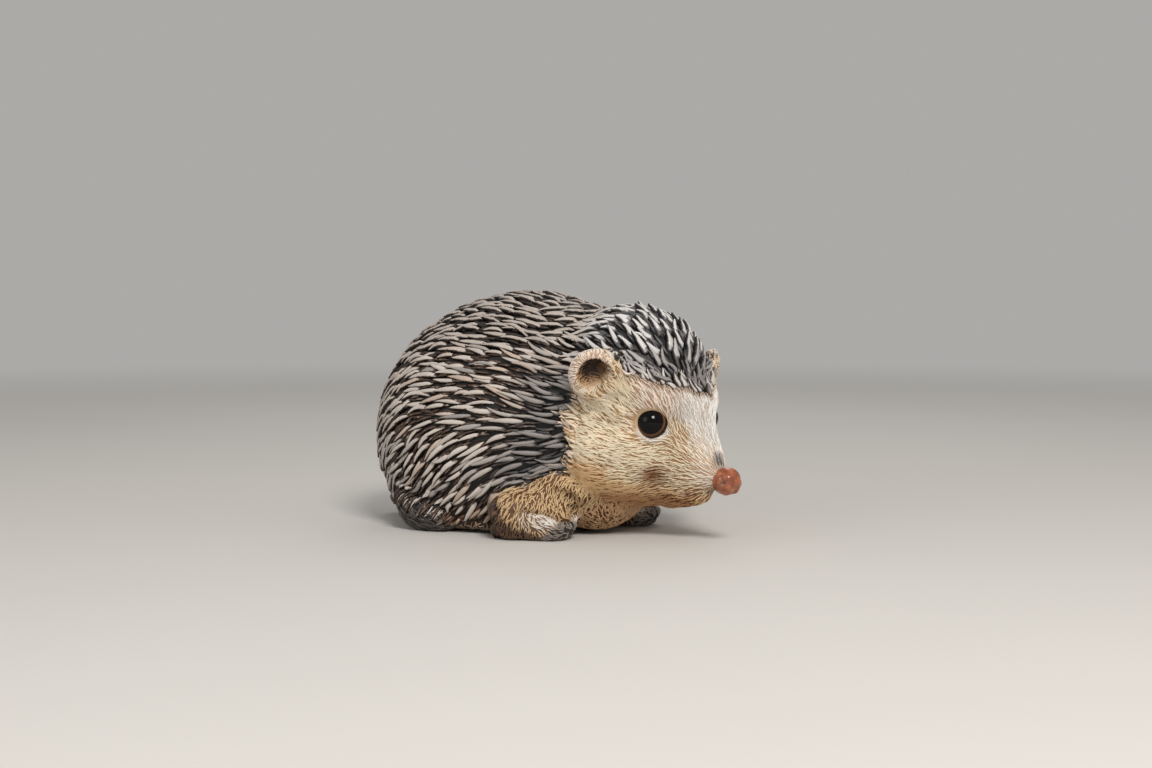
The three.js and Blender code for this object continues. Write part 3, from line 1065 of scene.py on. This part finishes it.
def ball(name, place, size):
    bm = bmesh.new()
    bmesh.ops.create_uvsphere(bm, u_segments=2 * BALL_RINGS, v_segments=BALL_RINGS, radius=size)
    bmesh.ops.translate(bm, verts=bm.verts, vec=Vector(place))
    mesh = bpy.data.meshes.new(name)
    bm.to_mesh(mesh)
    bm.free()
    mesh.polygons.foreach_set("use_smooth", np.ones(len(mesh.polygons), bool))
    places = np.zeros(len(mesh.vertices) * 3)
    mesh.vertices.foreach_get("co", places)
    return linked(name, mesh), places.reshape(-1, 3)


def put(made, places):
    made.data.vertices.foreach_set("co", places.astype(np.float32).ravel())
    made.data.update()


def eye_material():
    n = Nodes("eye_varnish")
    angle = n.attribute("from_pupil")
    streak = n.noise(1500.0)
    brown = n.mix(n.ramp(streak, 0.35, 0.65), srgb(78, 46, 28), srgb(116, 74, 48))
    colour = n.mix(n.ramp(angle, 0.78, 0.83), srgb(6, 4, 4), brown)
    colour = n.mix(n.ramp(angle, 0.94, 0.99), colour, srgb(18, 11, 8))
    n.set(Base_Color=colour, Roughness=0.05, Specular_IOR_Level=0.22)
    return n.material


def build_eye(side, material):
    made, places = ball("eyeball_" + side, EYES[side], EYE_RADIUS * EYE_SCALE)
    gaze = unit(0.57 * FORWARD + SIDES[side] * 0.82 * LEFT + 0.14 * UP)
    out = unit(places - EYES[side])
    angle = np.arccos(np.clip(out @ gaze, -1, 1))
    cornea = 0.35 * MM * bell(angle, 0.6)
    put(made, places + out * cornea[:, None])
    attach(made, "from_pupil", angle)
    return part(made, "eyes", material, "eye_" + side)


def nose_material():
    n = Nodes("nose_paint")
    blot = n.noise(300.0)
    pit = n.attribute("pit")
    colour = n.mix(n.ramp(blot, 0.35, 0.7), srgb(128, 62, 32), srgb(176, 100, 60))
    colour = n.mix(pit, colour, srgb(56, 24, 12))
    n.set(Base_Color=colour, Roughness=0.2, Specular_IOR_Level=1.0, Normal=n.bump(blot, 0.3 * MM))
    return n.material


def build_nose():
    size = radius("nose")
    made, places = ball("nose_tip", NOSE + 0.4 * MM * FORWARD, 0.97 * size)
    way = unit(places - NOSE)
    h = np.stack((way @ FORWARD, way @ LEFT, way[:, 2]), axis=1)
    pit = np.zeros(len(places))
    for sign in (1, -1):
        nostril = unit(np.array((0.45, sign * 0.88, 0.04)))
        off = h - nostril
        slit = np.hypot((off[:, 2] - 0.5 * off[:, 0]) / 0.11, (off[:, 0] + 0.5 * off[:, 2]) / 0.34)
        pit += np.exp(-(slit ** 2)) * (h @ nostril > 0)
    cleft = bell(h[:, 1], 0.1) * smooth(0.1, 0.5, h[:, 0]) * smooth(0.35, -0.3, h[:, 2])
    lumps = 0.26 * MM * ripple(places, 5 * MM, 5)
    out = lumps - 0.9 * MM * pit - 0.45 * MM * cleft
    stretched = places + way * out[:, None]
    stretched += FORWARD * (0.06 * size * h[:, 0])[:, None]
    put(made, stretched)
    attach(made, "pit", np.clip(pit + 0.5 * cleft, 0, 1))
    return part(made, "nose", nose_material(), "nose")


# ---- floor, light and camera ----
BACKDROP = srgb(228, 226, 223)
BACKDROP_GLOW = 0.53


def build_floor():
    bpy.ops.mesh.primitive_circle_add(vertices=96, radius=12.0, fill_type="NGON")
    floor = bpy.context.object
    floor.name = "floor"
    n = Nodes("floor_paint")
    shade = n.mix(n.noise(3.0), srgb(206, 203, 198), srgb(212, 209, 204))
    place = n.add("ShaderNodeTexCoord", output="Object")
    far = n.add("ShaderNodeVectorMath", {0: place}, output="Value", operation="LENGTH")
    beyond = n.ramp(far, 0.5, 2.6)
    n.set(Base_Color=n.mix(beyond, shade, srgb(0, 0, 0)), Roughness=1.0, Specular_IOR_Level=0.0)
    n.set(Emission_Color=BACKDROP, Emission_Strength=n.maths("MULTIPLY", beyond, BACKDROP_GLOW))
    floor.data.materials.append(n.material)


def soft_light(name, place, size, power, colour):
    light = bpy.data.lights.new(name, "AREA")
    light.size = size
    light.energy = power
    light.color = colour
    lamp = linked(name, light)
    lamp.location = place
    lamp.rotation_mode = "QUATERNION"
    lamp.rotation_quaternion = (Vector((0, 0, 0.06)) - lamp.location).to_track_quat("-Z", "Y")


def build_light():
    bpy.context.scene.view_settings.view_transform = "Standard"
    world = bpy.data.worlds.new("studio")
    world.use_nodes = True
    world.node_tree.nodes["Background"].inputs["Color"].default_value = BACKDROP
    world.node_tree.nodes["Background"].inputs["Strength"].default_value = BACKDROP_GLOW
    bpy.context.scene.world = world
    soft_light("key", (0.85, -0.75, 0.95), 0.4, 14.0, (1.0, 0.97, 0.94))
    soft_light("fill", (-0.4, -1.4, 0.6), 0.8, 3.0, (0.94, 0.97, 1.0))
    soft_light("rim", (-0.4, 0.9, 1.0), 0.6, 2.0, (0.95, 0.97, 1.0))


def build_camera():
    camera = linked("camera", bpy.data.cameras.new("camera"))
    camera.data.lens = CAMERA_LENS
    camera.location = CAMERA_PLACE
    a, e = CAMERA_AZIMUTH, CAMERA_FALL
    ahead = Vector((-math.sin(a) * math.cos(e), math.cos(a) * math.cos(e), -math.sin(e)))
    camera.rotation_mode = "QUATERNION"
    camera.rotation_quaternion = ahead.to_track_quat("-Z", "Y")
    bpy.context.scene.camera = camera


# ---- the whole ----
def body_parts(m, to_left):
    """Every coat piece by slot: its name, where its tufts grow, their kind and the seed."""
    clear = (1 - np.clip(m["lip"] + m["lid"] + m["rim"], 0, 1)) * (1 - m["temple"])
    clear = clear * (1 - 0.7 * m["hairline"])
    legs = m["leg"] * (1 - m["toe"])
    chest = m["chest"] * (1 - m["under"]) * (1 - m["leg"])
    spines = [
        ("spines_upper", m["spiny"] * (1 - m["crown"]) * (1 - m["hidden"]), SPINE, 21),
        ("spines_lower", m["spiny"], LOW_SPINE, 22),
        ("spines_crown", m["crown"], CROWN, 23),
    ]
    fur = [("ruff", m["ruff"], RUFF, 24), ("hairline", m["hairline"], HAIRLINE, 25)]
    for side, here, seed in (("left", to_left, 31), ("right", ~to_left, 41)):
        fur.append(("fur_face_" + side, m["face"] * clear * here, FACE_FUR, seed))
        fur.append(("fur_leg_" + side, legs * here, LEG_FUR, seed + 1))
    fur += [
        ("fur_chest", chest, CHEST_FUR, 51),
        ("fur_temple", m["temple"], TEMPLE_FUR, 35),
        ("fur_ears", m["ear"] * (1 - m["earhole"]), EAR_FUR, 33),
        ("fur_ear_hollows", m["earhole"], HOLLOW_FUR, 38),
    ]
    paws = [
        ("fur_feet", np.clip(m["hind"] + m["tail"], 0, 1), FOOT_FUR, 34),
        ("fur_toes", m["toe"] * m["leg"] * (1 - m["tip"]), TOE_FUR, 36),
    ]
    return {"spines": spines, "fur": fur, "paws": paws}


def build_body():
    skin = build_skin()
    body = mesh_object("skin", skin.places, skin.quads)
    for key in PAINTED:
        attach(body, key, skin.masks[key])
    attach(body, "crest", np.zeros(len(skin.places)))
    attach(body, "tuft", np.full(len(skin.places), 0.5))
    paints = {slot: moulded_paint(name, rough) for slot, (name, rough) in SLOT_PAINTS.items()}
    part(body, "fur", paints["fur"], *FLESH)
    to_left = in_head(skin.places)[:, 1] > 0
    for slot, pieces in body_parts(skin.masks, to_left).items():
        for name, mask, spec, seed in pieces:
            part(tufts(skin, name, mask, spec, seed), slot, paints[slot])
    varnish = eye_material()
    for side in EYES:
        build_eye(side, varnish)
    build_nose()


build_camera()
build_floor()
build_light()
build_body()
